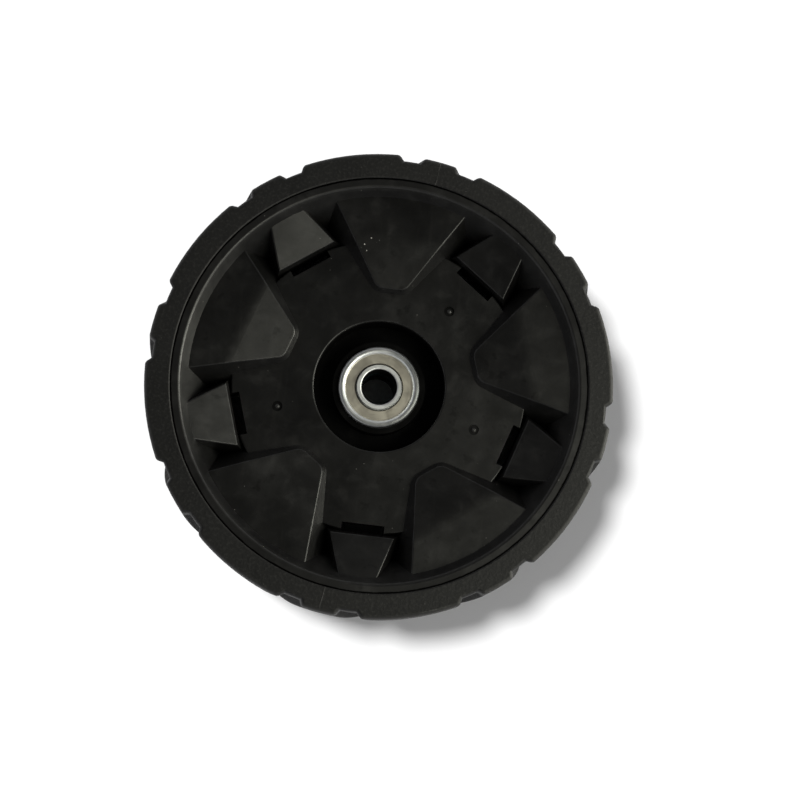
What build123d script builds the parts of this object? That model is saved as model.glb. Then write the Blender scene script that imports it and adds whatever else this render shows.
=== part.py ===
"""A walk-behind mower wheel: a solid tyre on a moulded plastic wheel that turns on two ball bearings.

The axle runs along Z, and the front face looks up. The origin is on the axle, halfway across the tyre.
"""
import os
from math import asin, atan2, cos, hypot, isclose, radians, sin, tan

from build123d import *

os.makedirs("parts", exist_ok=True)

# Tyre
wheel_diameter = 158.0
tyre_width = 40.0
tyre_thickness = 9.2
tread_crown = 0.8
tread_depth = 2.0
shoulder_radius = 1.5
tyre_edge_radius = 0.5
lug_pairs = 8
first_lug_angle = 14.0
groove_floor_width = 6.8
groove_wall_angle = 38.0
groove_slant_angle = 17.0
lug_edge_radius = 1.3
lug_root_depth = 1.9

# Rim
rim_inset = 0.5
lip_width = 3.0
lip_inner_edge_radius = 1.1
lip_outer_edge_radius = 0.4
cone_angle = 30.0
rim_wall = 3.0
locating_rib_width = 6.0
locating_rib_height = 1.6

# Moulded face: depths below the lip, and plan sizes
wall = 2.8
pad_depth = 4.3
disc_depth = 10.2
pocket_depth = 16.5
step_radius = 50.2
face_edge_radius = 0.6
pad_count = 5
first_pad_angle = 90.0
pad_tip_radius = 33.5
pad_tip_width = 9.8
pad_crease_width = 31.0
pad_ramp_drop = 3.5
pad_corner_radius = 2.2
pad_fold_radius = 15.0
pad_crease_radius = 18.0
pad_draft = 30.0

# Clip blocks, their slots and the gate marks between the pads
block_inner_width = 20.8
block_outer_width = 12.8
block_step = 2.0
block_slope = 18.0
block_draft = 16.0
slot_length = 14.5
slot_width = 3.2
gate_marks = (1, 3, 4)
gate_mark_radius = 35.3
gate_mark_diameter = 3.4
gate_pip_diameter = 1.3
gate_mark_depth = 0.4

# Hub and the ribs behind the face
recess_radius = 22.3
moat_depth = 23.5
boss_depth = 14.5
boss_wall = 1.9
hub_wall = 3.2
bearing_shoulder = 2.0
rib_count = 10
rib_thickness = 2.4
rib_inset = 5.0

# Ball bearings and the spacer between them
axle_diameter = 12.0
bearing_diameter = 28.0
bearing_width = 10.0
bearing_stand_out = 2.0
bead_width = 2.6
bead_radius = 1.25
shield_depth = 1.0
shield_thickness = 0.5
shield_seat = 0.6
shield_gap = 0.3
inner_ring_wall = 1.55
inner_ring_stand_out = 0.4
bore_edge_radius = 0.6
ball_diameter = 4.762
ball_count = 7
ball_clearance = 0.04
cage_width = 2.0
cage_land_gap = 0.7
cage_clearance = 0.1
cage_base = 0.7
cage_reach = 0.8
spacer_wall = 2.0

# Levels along the axle
half_width = tyre_width / 2
lip_level = half_width - rim_inset
pad_level = lip_level - pad_depth
disc_level = lip_level - disc_depth
pocket_level = lip_level - pocket_depth
moat_level = lip_level - moat_depth
boss_level = lip_level - boss_depth
rear_level = -lip_level
front_bearing_level = boss_level + bearing_stand_out - bearing_width / 2
rear_bearing_level = rear_level + bearing_width / 2

# Radii shared by neighbouring pieces
wheel_radius = wheel_diameter / 2
groove_floor_radius = wheel_radius - tread_depth
rim_radius = wheel_radius - tyre_thickness
locating_rib_radius = rim_radius + locating_rib_height
lip_inner_radius = rim_radius - lip_width
barrel_inner_radius = rim_radius - rim_wall
bearing_radius = bearing_diameter / 2
axle_radius = axle_diameter / 2
inner_ring_radius = axle_radius + inner_ring_wall
bead_inner_radius = bearing_radius - bead_width
shield_radius = bead_inner_radius + shield_seat
ball_radius = ball_diameter / 2
pitch_radius = (axle_radius + bearing_radius) / 2
inner_land_radius = pitch_radius - cage_width / 2 - cage_land_gap
block_axis_angle = first_pad_angle + 180 / pad_count


def cone_radius(level):
    """Radius of the rim's conical inner wall at a level."""
    return lip_inner_radius - (lip_level - level) * tan(radians(cone_angle))


def raised_form(plan, top_level, draft, slope, inset):
    """A drafted form that stands on the disc and runs out into the rim, with its axis along X.

    plan is its outline at top_level, slope the plane of its sloping top, and inset moves every
    face inwards, which gives the hollow behind a wall of that thickness.
    """
    base_level = pocket_level - wall
    growth = (top_level - base_level) * tan(radians(draft)) - inset / cos(radians(draft))
    with BuildPart() as form:
        with BuildSketch(Plane.XY.offset(base_level)):
            add(plan.sketch)
            offset(amount=growth, kind=Kind.INTERSECTION)
        extrude(amount=top_level - inset - base_level, taper=draft)
        split(bisect_by=slope.offset(-inset), keep=Keep.BOTTOM)
    return form.part


def crowned_section(middle_radius, side_points):
    """Section of a ring with an arched tread side, closed through side_points along its other sides."""
    side_radius = middle_radius - tread_crown
    with BuildSketch() as ring:
        with BuildLine():
            ThreePointArc((side_radius, -half_width), (middle_radius, 0), (side_radius, half_width))
            Polyline((side_radius, half_width), *side_points, (side_radius, -half_width))
        make_face()
        fillet(ring.vertices().group_by(Axis.X)[-1], shoulder_radius)
    return ring.sketch


def top_faces(form):
    """The faces on a raised form's top, level or sloping."""
    return form.faces().filter_by(lambda face: face.normal_at().Z > 0.9)


def top_outline(form):
    """The edges where a raised form's top meets its drafted walls."""
    walls = form.faces().filter_by(lambda face: 0.1 < face.normal_at().Z < 0.9)
    return top_faces(form).edges() & walls.edges()


# Tyre: lugs left between slanted grooves in a full band, on a carcass that reaches the groove floors
with BuildPart() as tyre:
    band_inner_radius = wheel_radius - tyre_thickness / 2
    with BuildSketch(Plane.XZ):
        band_inner_side = [(band_inner_radius, half_width), (band_inner_radius, -half_width)]
        add(crowned_section(wheel_radius, band_inner_side))
    revolve(axis=Axis.Z)
    groove_top = 2 * tread_depth
    groove_top_half = groove_floor_width / 2 + groove_top * tan(radians(groove_wall_angle))
    groove_root_half = groove_floor_width / 2 - lug_root_depth * tan(radians(groove_wall_angle))
    for step in range(2 * lug_pairs):
        angle = first_lug_angle + (step + 0.5) * 180 / lug_pairs
        slant = radians(groove_slant_angle) * (1 if step % 2 == 0 else -1)
        radial = Vector(cos(radians(angle)), sin(radians(angle)), 0)
        around = Vector(-radial.Y, radial.X, 0)
        along = around * sin(slant) + Vector(0, 0, cos(slant))
        groove_plane = Plane(origin=radial * groove_floor_radius, x_dir=radial, z_dir=along)
        with BuildSketch(groove_plane):
            with BuildLine():
                Polyline(
                    (-lug_root_depth, -groove_root_half),
                    (groove_top, -groove_top_half),
                    (groove_top, groove_top_half),
                    (-lug_root_depth, groove_root_half),
                    close=True,
                )
            make_face()
        extrude(amount=tyre_width, both=True, mode=Mode.SUBTRACT)
    flat_faces = tyre.faces().filter_by(GeomType.PLANE)
    groove_walls = flat_faces.filter_by(lambda face: abs(face.normal_at().Z) < 0.9)
    crown_faces = tyre.faces().filter_by(GeomType.TORUS)
    fillet(groove_walls.edges() & crown_faces.edges(), lug_edge_radius)
    with BuildSketch(Plane.XZ) as carcass:
        add(
            crowned_section(
                groove_floor_radius,
                [
                    (rim_radius, half_width),
                    (rim_radius, locating_rib_width / 2),
                    (locating_rib_radius, locating_rib_width / 2),
                    (locating_rib_radius, -locating_rib_width / 2),
                    (rim_radius, -locating_rib_width / 2),
                    (rim_radius, -half_width),
                ],
            )
        )
        seat_ends = carcass.vertices().group_by(Axis.X)[0].filter_by(lambda v: isclose(abs(v.Y), half_width))
        fillet(seat_ends, tyre_edge_radius)
    revolve(axis=Axis.Z)
tyre.part.label = "tyre"
export_step(tyre.part, "parts/tyre.step")

# Plan of a pad at its plateau: the ramp to the tip lies lower, so its drafted sides start closer in there
tip_setback = pad_ramp_drop * tan(radians(pad_draft))
ramp_length = step_radius - pad_tip_radius
half_taper = (pad_crease_width - pad_tip_width) / 2
side_angle = atan2(half_taper, ramp_length)
ramp_side_angle = side_angle + asin(tip_setback / hypot(half_taper, ramp_length))
plateau_tip_radius = pad_tip_radius + tip_setback
plateau_tip_half = pad_crease_width / 2 - (step_radius - plateau_tip_radius) * tan(ramp_side_angle)
pad_outer_half = pad_crease_width / 2 + (rim_radius - step_radius) * tan(side_angle)
with BuildSketch() as pad_plan:
    with BuildLine():
        Polyline(
            (plateau_tip_radius, -plateau_tip_half),
            (step_radius, -pad_crease_width / 2),
            (rim_radius, -pad_outer_half),
            (rim_radius, pad_outer_half),
            (step_radius, pad_crease_width / 2),
            (plateau_tip_radius, plateau_tip_half),
            close=True,
        )
    make_face()
with BuildSketch() as rounded_pad_plan:
    add(pad_plan.sketch)
    tip, fold = rounded_pad_plan.vertices().group_by(Axis.X)[:2]
    fillet(tip, pad_corner_radius)
    fillet(fold, pad_fold_radius)
ramp_plane = Plane(
    origin=(step_radius, 0, pad_level),
    x_dir=(0, 1, 0),
    z_dir=(-pad_ramp_drop, 0, ramp_length),
)

# Plan of a clip block at the level where its sloping top reaches the rim
block_rise = tan(radians(block_slope))
block_run = tan(radians(block_draft))
block_inner_level = disc_level + block_step
block_inner_radius = step_radius + block_step * block_run
block_outer_radius = cone_radius(pad_level)
block_top_level = block_inner_level + (rim_radius - block_inner_radius) * block_rise
inner_setback = (rim_radius - block_inner_radius) * block_rise * block_run
outer_setback = (rim_radius - block_outer_radius) * block_rise * block_run
plan_inner_radius = block_inner_radius + inner_setback
plan_inner_half = block_inner_width / 2 - inner_setback
plan_outer_half = block_outer_width / 2 - outer_setback
narrowing = (plan_inner_half - plan_outer_half) / (block_outer_radius - plan_inner_radius)
plan_rim_half = plan_outer_half - (rim_radius - block_outer_radius) * narrowing
with BuildSketch() as block_plan:
    with BuildLine():
        Polyline(
            (plan_inner_radius, -plan_inner_half),
            (rim_radius, -plan_rim_half),
            (rim_radius, plan_rim_half),
            (plan_inner_radius, plan_inner_half),
            close=True,
        )
    make_face()
block_plane = Plane(
    origin=(block_inner_radius, 0, block_inner_level),
    x_dir=(0, 1, 0),
    z_dir=(-block_rise, 0, 1),
)

# Pad and block, each trimmed to stay inside the rim, with its top edges rounded
trim_radius = rim_radius - lip_width / 2
with BuildPart() as pad:
    add(raised_form(rounded_pad_plan, pad_level, pad_draft, ramp_plane, 0))
    Cylinder(trim_radius, 2 * tyre_width, mode=Mode.INTERSECT)
    ramp, plateau = top_faces(pad).sort_by(Axis.X)
    fillet(ramp.edges() & plateau.edges(), pad_crease_radius)
    fillet(top_outline(pad), face_edge_radius)

with BuildPart() as block:
    add(raised_form(block_plan, block_top_level, block_draft, block_plane, 0))
    Cylinder(trim_radius, 2 * tyre_width, mode=Mode.INTERSECT)
    fillet(top_outline(block), face_edge_radius)

# Hollow behind the face: the wall follows the front at one thickness, and ribs are left standing in it
with BuildPart() as hollow:
    cone_wall = wall / cos(radians(cone_angle))
    cone_overlap = lip_inner_radius + cone_wall - barrel_inner_radius
    cone_meets_barrel = lip_level - cone_overlap / tan(radians(cone_angle))
    with BuildSketch(Plane.XZ):
        with BuildLine():
            Polyline(
                (bearing_radius + hub_wall, rear_level - wall),
                (bearing_radius + hub_wall, moat_level - wall),
                (recess_radius + wall, moat_level - wall),
                (recess_radius + wall, disc_level - wall),
                (step_radius - wall, disc_level - wall),
                (step_radius - wall, pocket_level - wall),
                (cone_radius(pocket_level - wall) + cone_wall, pocket_level - wall),
                (barrel_inner_radius, cone_meets_barrel),
                (barrel_inner_radius, rear_level - wall),
                close=True,
            )
        make_face()
    revolve(axis=Axis.Z)
    pad_core = raised_form(pad_plan, pad_level, pad_draft, ramp_plane, wall)
    block_core = raised_form(block_plan, block_top_level, block_draft, block_plane, wall)
    with PolarLocations(0, pad_count, first_pad_angle):
        add(pad_core)
    with PolarLocations(0, pad_count, block_axis_angle):
        add(block_core)
    Cylinder(barrel_inner_radius, 2 * tyre_width, mode=Mode.INTERSECT)
    rib_top = tyre_width
    rib_bottom = rear_level + rib_inset
    with BuildSketch(Plane.XY.offset(rib_bottom)):
        with PolarLocations(wheel_radius / 2, rib_count, first_pad_angle + 180 / rib_count):
            Rectangle(wheel_radius, rib_thickness)
    extrude(amount=rib_top, mode=Mode.SUBTRACT)

# Wheel body: hub, recess, dished disc and rim in one turned form, with the pads, blocks and slots
with BuildPart() as wheel_body:
    with BuildSketch(Plane.XZ) as section:
        with BuildLine():
            Polyline(
                (bearing_radius, boss_level),
                (bearing_radius + boss_wall, boss_level),
                (bearing_radius + boss_wall, moat_level),
                (recess_radius, moat_level),
                (recess_radius, disc_level),
                (step_radius, disc_level),
                (step_radius, pocket_level),
                (cone_radius(pocket_level), pocket_level),
                (lip_inner_radius, lip_level),
                (rim_radius, lip_level),
                (rim_radius, locating_rib_width / 2),
                (locating_rib_radius, locating_rib_width / 2),
                (locating_rib_radius, -locating_rib_width / 2),
                (rim_radius, -locating_rib_width / 2),
                (rim_radius, rear_level),
                (bearing_radius, rear_level),
                (bearing_radius, rear_bearing_level + bearing_width / 2),
                (bearing_radius - bearing_shoulder, rear_bearing_level + bearing_width / 2),
                (bearing_radius - bearing_shoulder, front_bearing_level - bearing_width / 2),
                (bearing_radius, front_bearing_level - bearing_width / 2),
                close=True,
            )
        make_face()
        lip_inner_corner, lip_outer_corner = section.vertices().group_by(Axis.Y)[-1].sort_by(Axis.X)
        fillet(lip_inner_corner, lip_inner_edge_radius)
        fillet(lip_outer_corner, lip_outer_edge_radius)
        fillet(section.vertices().filter_by(lambda v: isclose(v.Y, disc_level)), face_edge_radius)
    revolve(axis=Axis.Z)
    with PolarLocations(0, pad_count, first_pad_angle):
        add(pad.part)
    with PolarLocations(0, pad_count, block_axis_angle):
        add(block.part)
    add(hollow.part, mode=Mode.SUBTRACT)
    slot_bottom = pocket_level - wall
    with BuildSketch(Plane.XY.offset(slot_bottom)):
        with PolarLocations(step_radius - slot_width / 2, pad_count, block_axis_angle):
            Rectangle(slot_width, slot_length)
    extrude(amount=block_inner_level - slot_bottom, mode=Mode.SUBTRACT)
    with BuildSketch(Plane.XY.offset(disc_level)):
        for mark in gate_marks:
            with PolarLocations(gate_mark_radius, 1, block_axis_angle + mark * 360 / pad_count):
                Circle(gate_mark_diameter / 2)
                Circle(gate_pip_diameter / 2, mode=Mode.SUBTRACT)
    extrude(amount=-gate_mark_depth, mode=Mode.SUBTRACT)
wheel_body.part.label = "wheel_body"
export_step(wheel_body.part, "parts/wheel_body.step")

# Two bearings, alike about their own middle planes
land_half = bearing_width / 2 - shield_depth - shield_thickness - shield_gap
shield_middle = bearing_width / 2 - shield_depth - shield_thickness / 2
for side, level in (("front", front_bearing_level), ("rear", rear_bearing_level)):
    section_plane = Plane(origin=(0, 0, level), x_dir=(1, 0, 0), z_dir=(0, -1, 0))

    with BuildPart() as outer_race:
        with BuildSketch(section_plane) as race:
            with Locations((bearing_radius - bead_width / 2, 0)):
                Rectangle(bead_width, bearing_width)
            fillet(race.vertices(), bead_radius)
            with Locations((bead_inner_radius, shield_middle), (bead_inner_radius, -shield_middle)):
                Rectangle(2 * shield_seat, shield_thickness, mode=Mode.SUBTRACT)
            with Locations((pitch_radius, 0)):
                Circle(ball_radius + ball_clearance, mode=Mode.SUBTRACT)
        revolve(axis=Axis.Z)
    outer_race.part.label = f"{side}_bearing_outer_race"
    export_step(outer_race.part, f"parts/{side}_bearing_outer_race.step")

    with BuildPart() as inner_race:
        with BuildSketch(section_plane) as race:
            with Locations((axle_radius + inner_ring_wall / 2, 0)):
                Rectangle(inner_ring_wall, bearing_width + 2 * inner_ring_stand_out)
            fillet(race.vertices().group_by(Axis.X)[0], bore_edge_radius)
            with Locations(((axle_radius + inner_land_radius) / 2, 0)):
                Rectangle(inner_land_radius - axle_radius, 2 * land_half)
            with Locations((pitch_radius, 0)):
                Circle(ball_radius + ball_clearance, mode=Mode.SUBTRACT)
        revolve(axis=Axis.Z)
    inner_race.part.label = f"{side}_bearing_inner_race"
    export_step(inner_race.part, f"parts/{side}_bearing_inner_race.step")

    for facing, offset_from_middle in (("outer", shield_middle), ("inner", -shield_middle)):
        place = offset_from_middle if side == "front" else -offset_from_middle
        with BuildPart() as shield:
            with BuildSketch(section_plane):
                with Locations(((inner_ring_radius + shield_gap + shield_radius) / 2, place)):
                    Rectangle(shield_radius - inner_ring_radius - shield_gap, shield_thickness)
            revolve(axis=Axis.Z)
        shield.part.label = f"{side}_bearing_{facing}_shield"
        export_step(shield.part, f"parts/{side}_bearing_{facing}_shield.step")

    with BuildPart() as cage:
        cage_bottom = -ball_radius - cage_clearance - cage_base
        with BuildSketch(section_plane):
            with Locations((pitch_radius, (cage_bottom + cage_reach) / 2)):
                Rectangle(cage_width, cage_reach - cage_bottom)
        revolve(axis=Axis.Z)
        with Locations((0, 0, level)):
            with PolarLocations(pitch_radius, ball_count):
                Sphere(ball_radius + cage_clearance, mode=Mode.SUBTRACT)
    cage.part.label = f"{side}_bearing_cage"
    export_step(cage.part, f"parts/{side}_bearing_cage.step")

    for number in range(ball_count):
        turn = radians(number * 360 / ball_count)
        with BuildPart(Plane(origin=(pitch_radius * cos(turn), pitch_radius * sin(turn), level))) as ball:
            Sphere(ball_radius)
        ball.part.label = f"{side}_bearing_ball_{number + 1}"
        export_step(ball.part, f"parts/{side}_bearing_ball_{number + 1}.step")

# Spacer tube, clamped between the two inner races
spacer_top = front_bearing_level - bearing_width / 2 - inner_ring_stand_out
spacer_bottom = rear_bearing_level + bearing_width / 2 + inner_ring_stand_out
with BuildPart() as spacer:
    with BuildSketch(Plane.XY.offset(spacer_bottom)):
        Circle(axle_radius + spacer_wall)
        Circle(axle_radius, mode=Mode.SUBTRACT)
    extrude(amount=spacer_top - spacer_bottom)
spacer.part.label = "bearing_spacer"
export_step(spacer.part, "parts/bearing_spacer.step")
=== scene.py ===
"""Looks of the mower wheel: its finishes, floor, light and camera. Lengths in metres, angles in degrees."""
from math import cos, radians, sin

import bpy
from mathutils import Matrix, Vector


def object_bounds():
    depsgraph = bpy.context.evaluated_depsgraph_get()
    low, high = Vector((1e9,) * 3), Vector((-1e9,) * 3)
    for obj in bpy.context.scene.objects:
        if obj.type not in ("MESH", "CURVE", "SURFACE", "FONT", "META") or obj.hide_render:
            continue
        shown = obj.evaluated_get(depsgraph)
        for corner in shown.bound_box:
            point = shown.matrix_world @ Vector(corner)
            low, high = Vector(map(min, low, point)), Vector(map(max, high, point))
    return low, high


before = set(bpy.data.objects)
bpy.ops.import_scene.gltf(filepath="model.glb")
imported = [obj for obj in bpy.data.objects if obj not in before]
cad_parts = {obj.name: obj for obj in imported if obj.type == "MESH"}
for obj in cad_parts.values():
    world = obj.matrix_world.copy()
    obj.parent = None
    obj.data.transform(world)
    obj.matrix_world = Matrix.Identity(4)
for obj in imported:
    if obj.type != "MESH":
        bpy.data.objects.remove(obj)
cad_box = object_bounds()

MM = 0.001

# Camera, as found from the circles in the photograph, which shows the face a little askew and turned.
camera_distance = 500 * MM
camera_lean = -6.48
camera_swing = 3.36
camera_roll = -6.6
camera_aim = (7.52 * MM, -3.65 * MM)
focal_length_px = 1443.6
picture_width_px = 800
sensor_width_mm = 36.0
nearest_seen = 10 * MM

# Light. Azimuths are counted in the picture from its right-hand side, anticlockwise. The glow is the
# studio's own, from the height above the horizon where it is brightest to the one where it is dimmest.
key_azimuth = -22.0
key_from_upright = 40.0
key_distance = 0.75
key_size = 0.42
key_watts = 2.9
side_azimuth = 0.0
side_from_upright = 79.0
side_distance = 0.9
side_size = 0.4
side_watts = 6.6
floor_lamp_azimuth = 149.0
floor_lamp_from_upright = 25.0
floor_lamp_distance = 1.0
floor_lamp_spread = 13.0
floor_lamp_strength = 3.4
floor_fill_strength = 0.5
horizon_glow = 0.9
zenith_glow = 0.05
glow_from = 3.0
glow_to = 56.0
lamp_colour = (1.0, 0.995, 0.86)

# Marks on the face: the moulding gates, a cluster of crumbs on one pad, and the tyre's knit line.
gate_mark_distance = 35.3 * MM
gate_mark_angles = (54, 198, 342)
gate_marks = [
    (gate_mark_distance * cos(radians(angle)), gate_mark_distance * sin(radians(angle)))
    for angle in gate_mark_angles
]
crumbs_place = (-9.2 * MM, 47.8 * MM)
knit_angle = 81.5

# Floor, with the middle under the wheel as a piece of its own.
floor_size = 60.0
floor_level = cad_box[0].z
floor_middle_radius = 68 * MM
floor_middle_rise = 0.02 * MM
floor_middle_corners = 72
floor_cloud_size = 300 * MM
floor_tones = (0.80, 0.82)


def picture_turn():
    """The turn from the wheel's frame to the picture's: right, up and towards the viewer."""
    lean = Matrix.Rotation(radians(camera_lean), 3, "X")
    swing = Matrix.Rotation(radians(camera_swing), 3, "Y")
    roll = Matrix.Rotation(radians(camera_roll), 3, "Z")
    return lean @ swing @ roll


class Graph:
    """Short calls for building a shader's nodes."""

    def __init__(self, tree):
        self.tree = tree
        self.tree.nodes.clear()

    def node(self, kind, inputs=None, **settings):
        made = self.tree.nodes.new(kind)
        for name, value in settings.items():
            setattr(made, name, value)
        for name, value in (inputs or {}).items():
            self.feed(made.inputs[name], value)
        return made

    def feed(self, socket, value):
        if isinstance(value, bpy.types.NodeSocket):
            self.tree.links.new(value, socket)
        else:
            socket.default_value = value

    def math(self, operation, a, b=0.0, c=0.0):
        made = self.node("ShaderNodeMath", operation=operation)
        for socket, value in zip(made.inputs, (a, b, c)):
            self.feed(socket, value)
        return made.outputs[0]

    def noise(self, place, size, detail=3.0, roughness=0.55, warp=0.0):
        """Grey clouds whose lumps are about that size, around 0.5."""
        made = self.node(
            "ShaderNodeTexNoise",
            {
                "Vector": place,
                "Scale": 0.5 / size,
                "Detail": detail,
                "Roughness": roughness,
                "Distortion": warp,
            },
        )
        return made.outputs["Fac"]

    def span(self, value, low, high, to_low=0.0, to_high=1.0):
        """Maps low..high to to_low..to_high, held at both ends."""
        made = self.node(
            "ShaderNodeMapRange",
            {"Value": value, "From Min": low, "From Max": high, "To Min": to_low, "To Max": to_high},
        )
        return made.outputs["Result"]

    def blend(self, share, a, b):
        """The colour a, or b in that share."""
        made = self.node("ShaderNodeMix", data_type="RGBA")
        self.feed(made.inputs["Factor"], share)
        # The node's two colour sockets come after those for numbers and vectors.
        for socket, value in zip(made.inputs[6:8], (a, b)):
            self.feed(socket, value)
        return made.outputs[2]

    def specks(self, place, spacing, radius, share):
        """Small round spots, at most one a cell of that spacing, in that share of the cells."""
        settings = {"Vector": place, "Scale": 1.0 / spacing, "Randomness": 1.0}
        cells = self.node("ShaderNodeTexVoronoi", settings)
        near = self.span(cells.outputs["Distance"], radius / spacing, 0.5 * radius / spacing)
        picked = self.node("ShaderNodeSeparateColor", {"Color": cells.outputs["Color"]})
        chosen = self.math("LESS_THAN", picked.outputs[0], share)
        return self.math("MULTIPLY", near, chosen)

    def bump(self, height, depth, normal=None):
        made = self.node("ShaderNodeBump", {"Height": height, "Distance": depth, "Strength": 1.0})
        if normal is not None:
            self.feed(made.inputs["Normal"], normal)
        return made.outputs["Normal"]

    def finish(self, shader):
        self.node("ShaderNodeOutputMaterial", {"Surface": shader})


def new_material(name):
    made = bpy.data.materials.new(name)
    made.use_nodes = True
    return made, Graph(made.node_tree)


def grey(level, warm=0.0):
    """A grey of that level, its red raised and its blue lowered by the share warm."""
    return (level * (1 + warm), level, level * (1 - warm), 1.0)


def dim(g, factor, colour):
    """The colour times a factor from 0 to 1."""
    return g.blend(factor, (0.0, 0.0, 0.0, 1.0), colour)


def axle_distance(g, place):
    x, y, _ = g.node("ShaderNodeSeparateXYZ", {"Vector": place}).outputs
    return g.math("SQRT", g.math("ADD", g.math("MULTIPLY", x, x), g.math("MULTIPLY", y, y)))


def point_distance(g, place, x, y):
    """The distance from a line along the axle's direction through that point of the face."""
    apart = g.node("ShaderNodeVectorMath", {0: place, 1: (x, y, 0.0)}, operation="SUBTRACT")
    return axle_distance(g, apart.outputs[0])


def turned_place(g, place, angle):
    """The place in axes that are turned about the axle by that angle."""
    turned = g.node("ShaderNodeMapping", {"Vector": place, "Rotation": (0.0, 0.0, radians(-angle))})
    return g.node("ShaderNodeSeparateXYZ", {"Vector": turned.outputs[0]}).outputs


def plastic_material():
    """Black moulded plastic, smudged and dusty, with painted shade deep in the hub and in the tyre's seam."""
    cloud_size = 11 * MM
    smear_size = 3.6 * MM
    blot_size = 2.4 * MM
    streak_size = 1.0 * MM
    streak_squeeze = (1.0, 0.09, 0.3)
    grain_size = 0.16 * MM
    grain_depth = 0.012 * MM
    ripple_size = 2.2 * MM
    ripple_depth = 0.014 * MM
    pip_depth = 0.35 * MM
    # Each pair holds the two distances or heights between which a mark fades in or out.
    hub_shade_height = (6.3 * MM, 9 * MM)
    lip_height = (17.5 * MM, 18.5 * MM)
    seam_radius = (69.45 * MM, 69.65 * MM)
    seam_wander = 0.6 * MM
    crumbs_reach = (3.6 * MM, 2.2 * MM)
    blush_reach = (7.5 * MM, 7.2 * MM)
    pip_reach = (0.85 * MM, 0.25 * MM)
    ring_inside = (0.65 * MM, 0.85 * MM)
    ring_outside = (1.85 * MM, 1.65 * MM)

    made, g = new_material("wheel_plastic")
    place = g.node("ShaderNodeTexCoord").outputs["Object"]
    radius = axle_distance(g, place)
    height = g.node("ShaderNodeSeparateXYZ", {"Vector": place}).outputs["Z"]
    clouds = g.noise(place, cloud_size, detail=4.0, warp=0.6)
    smears = g.noise(place, smear_size, detail=4.0, roughness=0.58, warp=0.35)
    blots = g.noise(place, blot_size, detail=4.0)
    squeezed = g.node("ShaderNodeMapping", {"Vector": place, "Scale": streak_squeeze}).outputs[0]
    streaks = g.noise(squeezed, streak_size, detail=3.0)
    grain = g.noise(place, grain_size, detail=2.0)
    ripple = g.noise(place, ripple_size, detail=2.0)
    dust = g.specks(place, spacing=2.4 * MM, radius=0.18 * MM, share=0.14)
    crumbs = g.specks(place, spacing=1.0 * MM, radius=0.32 * MM, share=0.2)
    crumbs = g.math("MULTIPLY", crumbs, g.span(point_distance(g, place, *crumbs_place), *crumbs_reach))
    blush = g.span(point_distance(g, place, *gate_marks[1]), *blush_reach)
    gate, *others = [point_distance(g, place, *mark) for mark in gate_marks]
    for other in others:
        gate = g.math("MINIMUM", other, gate)
    # Each gate mark has a raised pip, painted lighter as a highlight, in a ring painted darker as shade.
    pips = g.span(gate, *pip_reach)
    gate_ring_shade = g.math("MULTIPLY", g.span(gate, *ring_inside), g.span(gate, *ring_outside, to_high=0.5))

    # Painted shade: the plastic low in the hub, below the face, is darker.
    depth = g.span(height, *hub_shade_height, to_low=0.28)
    # Painted shade in the seam by the tyre: the plastic outside a ragged circle there is darkened almost to
    # black.
    ragged = g.math("MULTIPLY_ADD", blots, seam_wander, radius)
    seam = g.span(ragged, *seam_radius, to_low=1.0, to_high=0.08)
    stains = g.math("MULTIPLY", g.span(blots, 0.42, 0.34), g.span(clouds, 0.50, 0.60, to_high=0.25))
    # From here the stains also hold the painted shade of the gate rings.
    stains = g.math("MAXIMUM", stains, gate_ring_shade)
    # The share of colour and reflection kept after the stains and the painted shade.
    kept_after_stain_and_shade = g.math("MULTIPLY", g.math("MULTIPLY", depth, seam), g.math("SUBTRACT", 1.0, stains))
    lip = g.span(height, *lip_height)

    body = g.blend(g.span(clouds, 0.35, 0.68), grey(0.0030, 0.02), grey(0.0054, 0.03))
    body = g.blend(g.span(smears, 0.56, 0.78, to_high=0.6), body, grey(0.0120, 0.05))
    body = g.blend(g.span(streaks, 0.60, 0.76, to_high=0.4), body, grey(0.0130, 0.04))
    body = g.blend(g.math("MULTIPLY", lip, 0.45), body, grey(0.0125, 0.02))
    # Painted highlight on the gate pips.
    body = g.blend(g.math("MULTIPLY", pips, 0.35), body, grey(0.05, 0.03))
    body = g.blend(g.math("MULTIPLY", dust, 0.65), body, grey(0.24, 0.04))
    body = g.blend(crumbs, body, grey(0.72, 0.04))
    rough = g.span(clouds, 0.3, 0.7, 0.32, 0.42)
    rough = g.math("ADD", rough, g.span(smears, 0.5, 0.8, to_high=0.08))
    rough = g.math("ADD", rough, g.math("MULTIPLY", blush, 0.03))
    specular = g.math("MULTIPLY", kept_after_stain_and_shade, g.span(smears, 0.32, 0.68, 0.41, 0.57))
    relief = g.bump(ripple, ripple_depth)
    relief = g.bump(grain, grain_depth, relief)
    relief = g.bump(pips, pip_depth, relief)
    shader = g.node(
        "ShaderNodeBsdfPrincipled",
        {
            "Base Color": dim(g, kept_after_stain_and_shade, body),
            "Roughness": rough,
            "Normal": relief,
            "IOR": 1.46,
            "Specular IOR Level": specular,
        },
    )
    g.finish(shader.outputs[0])
    return made


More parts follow.
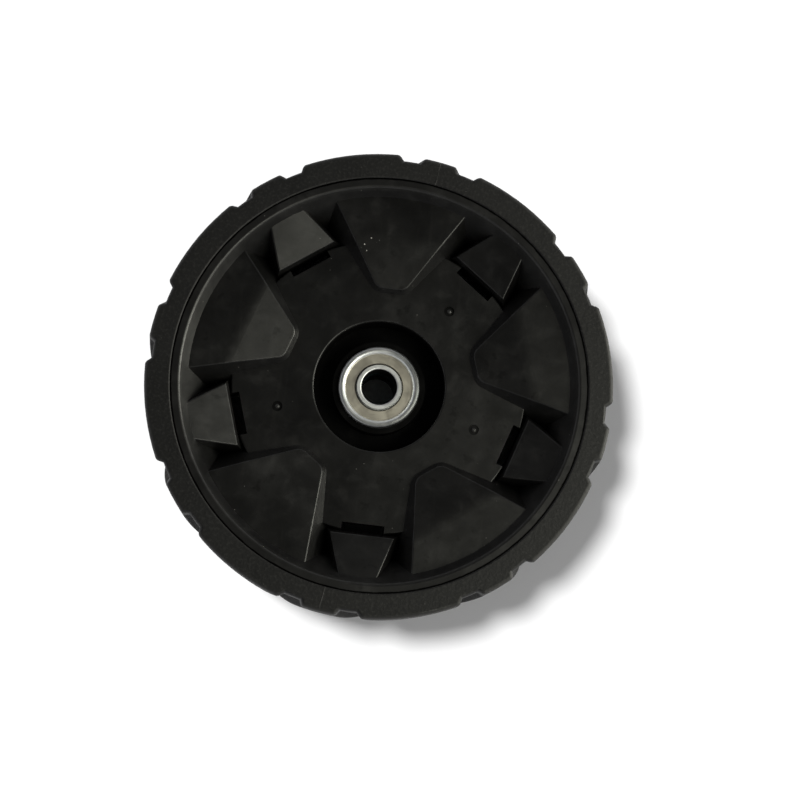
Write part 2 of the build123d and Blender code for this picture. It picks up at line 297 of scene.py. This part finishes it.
def tyre_material():
    """Matte rubber: grainy and dusty, duller on the tread, with the knit line of its mould across it."""
    cloud_size = 9 * MM
    grain_size = 0.50 * MM
    grain_depth = 0.080 * MM
    pore_size = 0.95 * MM
    pore_depth = 0.095 * MM
    # Each pair holds the two distances or heights between which a mark fades in or out.
    shoulder_radius = (76.6 * MM, 77.9 * MM)
    shoulder_height = (17.0 * MM, 18.4 * MM)
    tread_height = (17.9 * MM, 17.0 * MM)
    tread_roughness = 0.95
    knit_width = (0.28 * MM, 0.10 * MM)
    knit_wander = 0.9 * MM
    knit_break = 2.5 * MM
    knit_depth = 0.080 * MM
    # The lighter grey of the shoulder's painted highlight and of the knit line.
    highlight_and_knit_tone = grey(0.0300, 0.03)

    made, g = new_material("tyre_rubber")
    place = g.node("ShaderNodeTexCoord").outputs["Object"]
    radius = axle_distance(g, place)
    height = g.node("ShaderNodeSeparateXYZ", {"Vector": place}).outputs["Z"]
    clouds = g.noise(place, cloud_size, detail=4.0, warp=0.5)
    grain = g.noise(place, grain_size, detail=3.0, roughness=0.6)
    pores = g.noise(place, pore_size, detail=2.0)
    dust = g.specks(place, spacing=1.9 * MM, radius=0.20 * MM, share=0.14)
    # Painted highlight along the tyre's front shoulder, all round.
    shoulder_highlight = g.math("MULTIPLY", g.span(radius, *shoulder_radius), g.span(height, *shoulder_height))
    wavy = g.math("MULTIPLY_ADD", pores, knit_wander, turned_place(g, place, knit_angle)["Y"])
    knit = g.span(g.math("ABSOLUTE", g.math("SUBTRACT", wavy, knit_wander / 2)), *knit_width)
    knit = g.math("MULTIPLY", knit, g.span(g.noise(place, knit_break), 0.42, 0.58, to_low=0.15))

    body = g.blend(g.span(clouds, 0.35, 0.7), grey(0.0030), grey(0.0050, 0.02))
    body = g.blend(g.span(grain, 0.50, 0.68, to_high=0.7), body, grey(0.0170, 0.03))
    body = g.blend(g.math("MULTIPLY", shoulder_highlight, 0.55), body, highlight_and_knit_tone)
    body = g.blend(g.math("MULTIPLY", knit, 0.45), body, highlight_and_knit_tone)
    body = g.blend(g.math("MULTIPLY", dust, 0.6), body, grey(0.07, 0.03))
    rough = g.span(clouds, 0.3, 0.7, 0.54, 0.64)
    rough = g.math("MAXIMUM", rough, g.span(height, *tread_height, to_high=tread_roughness))
    relief = g.bump(pores, pore_depth)
    relief = g.bump(grain, grain_depth, relief)
    relief = g.bump(knit, knit_depth, relief)
    shader = g.node(
        "ShaderNodeBsdfPrincipled",
        {"Base Color": body, "Roughness": rough, "Normal": relief, "IOR": 1.5, "Specular IOR Level": 0.36},
    )
    g.finish(shader.outputs[0])
    return made


def turned_lines(g, place, pitch):
    """Fine rings round the axle, broken up a little along their length, as a lathe or a press leaves them."""
    break_up = 0.6 * MM
    x, y, z = g.node("ShaderNodeSeparateXYZ", {"Vector": place}).outputs
    around = g.math("MULTIPLY", g.math("ARCTAN2", y, x), break_up)
    along = g.node("ShaderNodeCombineXYZ", {"X": axle_distance(g, place), "Y": around, "Z": z})
    return g.noise(along.outputs[0], pitch, detail=3.0)


def steel_material(name, low, high, shine, pitch=0.12 * MM, painted_shade=None, shade_side=None):
    """Plated steel with turned lines, stains and a few nicks.

    Its colour lies between low and high, its roughness around shine. The painted shade holds the distances
    from the axle line where that shade is darkest and where it ends, and the share of its colour that the
    darkest part keeps. Given a side, an angle about the axle, it keeps that share on that side alone and more
    elsewhere.
    """
    line_depth = 0.004 * MM
    stain_size = 2.4 * MM
    shade_side_from = -4 * MM
    shade_side_to = 10 * MM
    other_side_share = 0.75

    made, g = new_material(name)
    place = g.node("ShaderNodeTexCoord").outputs["Object"]
    lines = turned_lines(g, place, pitch)
    stains = g.noise(place, stain_size, detail=5.0, roughness=0.6, warp=0.8)
    nicks = g.specks(place, spacing=1.4 * MM, radius=0.14 * MM, share=0.12)
    body = g.blend(g.span(stains, 0.32, 0.68), low, high)
    body = g.blend(g.math("MULTIPLY", nicks, 0.5), body, grey(0.16, 0.08))
    # Painted shade: darkens the colour between the given distances from the axle, more on one side if a side
    # is given.
    if painted_shade is not None:
        shade_from, shade_to, kept = painted_shade
        if shade_side is not None:
            kept = g.span(turned_place(g, place, shade_side)["X"], shade_side_from, shade_side_to, other_side_share, kept)
        body = dim(g, g.span(axle_distance(g, place), shade_from, shade_to, kept, 1.0), body)
    rough = g.span(stains, 0.3, 0.7, shine - 0.05, shine + 0.06)
    rough = g.math("ADD", rough, g.span(lines, 0.3, 0.7, -0.04, 0.04))
    shader = g.node(
        "ShaderNodeBsdfPrincipled",
        {"Base Color": body, "Metallic": 1.0, "Roughness": rough, "Normal": g.bump(lines, line_depth)},
    )
    g.finish(shader.outputs[0])
    return made


def cage_material():
    """Natural nylon, a little cloudy."""
    cloud_size = 1.6 * MM
    grain_size = 0.12 * MM
    grain_depth = 0.010 * MM
    made, g = new_material("cage_nylon")
    place = g.node("ShaderNodeTexCoord").outputs["Object"]
    clouds = g.noise(place, cloud_size, detail=4.0)
    body = g.blend(g.span(clouds, 0.35, 0.65), (0.56, 0.51, 0.40, 1.0), (0.66, 0.62, 0.52, 1.0))
    rough = g.span(clouds, 0.3, 0.7, 0.42, 0.52)
    relief = g.bump(g.noise(place, grain_size), grain_depth)
    shader = g.node("ShaderNodeBsdfPrincipled", {"Base Color": body, "Roughness": rough, "Normal": relief})
    g.finish(shader.outputs[0])
    return made


def dress_nodes():
    """Gives each piece its finish, by its name or by the end of its name; the balls take what is left."""
    # Painted shade on the outer race's outer flank, most on one side.
    rim_flank = (12.95 * MM, 12.3 * MM, 0.20)
    rim_shade_side = -18
    # Painted shade on the shields' inner edge, by the gap to the inner race.
    shield_edge = (8.2 * MM, 8.35 * MM, 0.12)
    shield_pitch = 0.2 * MM
    # Painted shade on the wall of the bore.
    bore_wall = (6.05 * MM, 6.35 * MM, 0.05)
    bright_zinc = steel_material(
        "bright_zinc",
        low=(0.76, 0.79, 0.80, 1.0),
        high=(0.90, 0.91, 0.91, 1.0),
        shine=0.41,
        painted_shade=rim_flank,
        shade_side=rim_shade_side,
    )
    satin_zinc = steel_material(
        "satin_zinc",
        low=(0.61, 0.57, 0.48, 1.0),
        high=(0.72, 0.68, 0.58, 1.0),
        shine=0.42,
        pitch=shield_pitch,
        painted_shade=shield_edge,
    )
    ground_steel = steel_material(
        "ground_steel",
        low=(0.80, 0.82, 0.82, 1.0),
        high=(0.92, 0.93, 0.93, 1.0),
        shine=0.48,
        painted_shade=bore_wall,
    )
    # The spacer: blue zinc painted dark as shade inside the bore.
    tube_zinc_painted_shade = steel_material(
        "tube_zinc_painted_shade",
        low=(0.042, 0.084, 0.100, 1.0),
        high=(0.070, 0.126, 0.145, 1.0),
        shine=0.45,
    )
    polished = steel_material(
        "polished_steel",
        low=(0.72, 0.72, 0.73, 1.0),
        high=(0.80, 0.80, 0.81, 1.0),
        shine=0.10,
    )
    finish_of = {"tyre": tyre_material(), "wheel_body": plastic_material(), "bearing_spacer": tube_zinc_painted_shade}
    finish_of_ending = {
        "outer_race": bright_zinc,
        "inner_race": ground_steel,
        "outer_shield": satin_zinc,
        "inner_shield": satin_zinc,
        "cage": cage_material(),
    }
    for name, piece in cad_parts.items():
        finish = finish_of.get(name, polished)
        for ending, other in finish_of_ending.items():
            if name.endswith(ending):
                finish = other
        piece.data.materials.clear()
        piece.data.materials.append(finish)


def floor_material():
    """Pale floor that is white to the eye where it is lit, and keeps the wheel's shadow."""
    made, g = new_material("pale_floor")
    place = g.node("ShaderNodeTexCoord").outputs["Object"]
    clouds = g.noise(place, floor_cloud_size, detail=2.0)
    low, high = floor_tones
    matte = g.node("ShaderNodeBsdfDiffuse", {"Color": g.blend(clouds, grey(low), grey(high))})
    g.finish(matte.outputs[0])
    return made


def floor_piece(name, outline, level, material):
    mesh = bpy.data.meshes.new(name)
    mesh.from_pydata([(x, y, level) for x, y in outline], [], [range(len(outline))])
    mesh.materials.append(material)
    piece = bpy.data.objects.new(name, mesh)
    bpy.context.scene.collection.objects.link(piece)
    return piece


def make_floor():
    """The floor, and its middle under the wheel as a piece that the floor's lamps leave dark."""
    material = floor_material()
    half = floor_size / 2
    square = [(-half, -half), (half, -half), (half, half), (-half, half)]
    turns = [radians(360 * corner / floor_middle_corners) for corner in range(floor_middle_corners)]
    disc = [(floor_middle_radius * cos(turn), floor_middle_radius * sin(turn)) for turn in turns]
    floor = floor_piece("floor", square, floor_level, material)
    middle = floor_piece("floor_middle", disc, floor_level + floor_middle_rise, material)
    return floor, middle


def make_world():
    """A studio that is bright low down all round and dim overhead."""
    world = bpy.data.worlds.new("studio")
    bpy.context.scene.world = world
    world.use_nodes = True
    g = Graph(world.node_tree)
    direction = g.node("ShaderNodeTexCoord").outputs["Generated"]
    up = g.node("ShaderNodeSeparateXYZ", {"Vector": direction}).outputs["Z"]
    glow = g.span(up, sin(radians(glow_from)), sin(radians(glow_to)), horizon_glow, zenith_glow)
    shade = g.node("ShaderNodeBackground", {"Color": grey(1.0), "Strength": glow})
    g.node("ShaderNodeOutputWorld", {"Surface": shade.outputs[0]})


def place_lamp(data, azimuth, from_upright, distance):
    """Puts a lamp on that side of the picture, so that it looks at the wheel's middle."""
    lean = radians(from_upright)
    turn = radians(azimuth - camera_roll)
    towards = Vector((sin(lean) * cos(turn), sin(lean) * sin(turn), cos(lean)))
    lamp = bpy.data.objects.new(data.name, data)
    lamp.location = towards * distance
    lamp.rotation_mode = "QUATERNION"
    lamp.rotation_quaternion = towards.to_track_quat("Z", "Y")
    lamp.visible_camera = False
    bpy.context.scene.collection.objects.link(lamp)
    return lamp


def make_soft_lamp(name, azimuth, from_upright, distance, size, watts):
    data = bpy.data.lights.new(name, "AREA")
    data.shape = "SQUARE"
    data.size = size
    data.energy = watts
    data.color = lamp_colour
    return place_lamp(data, azimuth, from_upright, distance)


def make_floor_lamp(name, strength, shadow):
    """Even white light for the floor, wide enough that a shadow is soft; the fill casts none."""
    data = bpy.data.lights.new(name, "SUN")
    data.angle = radians(floor_lamp_spread)
    data.energy = strength
    data.use_shadow = shadow
    return place_lamp(data, floor_lamp_azimuth, floor_lamp_from_upright, floor_lamp_distance)


def set_receivers(lamp, pieces, state):
    """INCLUDE lets the lamp light these pieces alone, EXCLUDE all but these."""
    chosen = bpy.data.collections.new(lamp.name + "_receivers")
    for piece in pieces:
        chosen.objects.link(piece)
    lamp.light_linking.receiver_collection = chosen
    for member in chosen.collection_objects:
        member.light_linking.link_state = state


def make_camera():
    data = bpy.data.cameras.new("camera")
    data.sensor_fit = "HORIZONTAL"
    data.sensor_width = sensor_width_mm
    data.lens = focal_length_px / picture_width_px * sensor_width_mm
    data.clip_start = nearest_seen
    camera = bpy.data.objects.new("camera", data)
    back = picture_turn().transposed()
    camera.matrix_world = Matrix.Translation(back @ Vector((*camera_aim, camera_distance))) @ back.to_4x4()
    bpy.context.scene.collection.objects.link(camera)
    bpy.context.scene.camera = camera


dress_nodes()
floor, floor_middle = make_floor()
make_world()
key = make_soft_lamp("key_lamp", key_azimuth, key_from_upright, key_distance, key_size, key_watts)
side = make_soft_lamp("side_lamp", side_azimuth, side_from_upright, side_distance, side_size, side_watts)
floor_lamp = make_floor_lamp("floor_lamp", floor_lamp_strength, True)
floor_fill = make_floor_lamp("floor_fill", floor_fill_strength, False)
set_receivers(key, (floor, floor_middle), "EXCLUDE")
set_receivers(side, (floor, floor_middle), "EXCLUDE")
set_receivers(floor_lamp, (floor,), "INCLUDE")
set_receivers(floor_fill, (floor,), "INCLUDE")
make_camera()
bpy.context.scene.view_settings.view_transform = "Standard"
